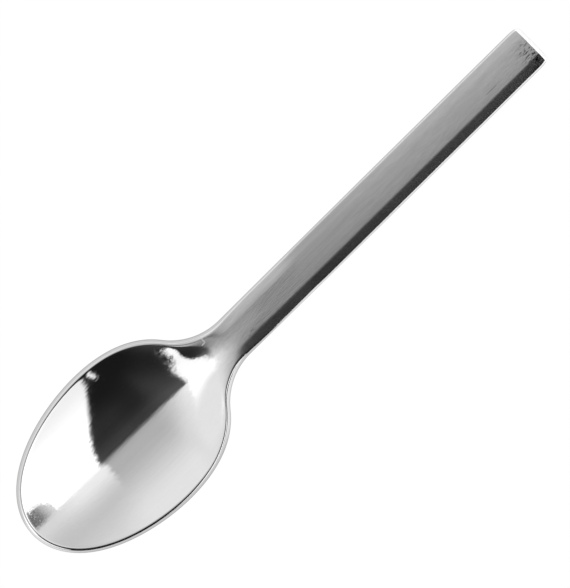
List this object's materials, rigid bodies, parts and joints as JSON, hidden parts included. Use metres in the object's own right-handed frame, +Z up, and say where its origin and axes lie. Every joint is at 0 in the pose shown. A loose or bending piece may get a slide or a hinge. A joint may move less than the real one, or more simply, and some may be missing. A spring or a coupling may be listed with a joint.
{
  "type": "teaspoon",
  "caption": "Steel teaspoon with an egg-shaped polished bowl, a flared neck and a flat, arched satin handle, for stirring, measuring and eating.",
  "frame": {"origin": "middle of the part's box, on the plane that the spoon lies on", "axes": "+X from the bowl's tip towards the handle's end, +Y across to one rim, +Z up out of the bowl's hollow"},
  "size_m": [0.14, 0.0334, 0.0124],
  "materials": {
    "polished_steel": "stainless steel, polished, with faint lengthwise polishing lines",
    "satin_steel": "stainless steel, satin, brushed along the handle"
  },
  "bodies": {
    "root": {"bowl": "polished_steel", "neck": "satin_steel", "handle": "satin_steel"}
  },
  "joints": []
}
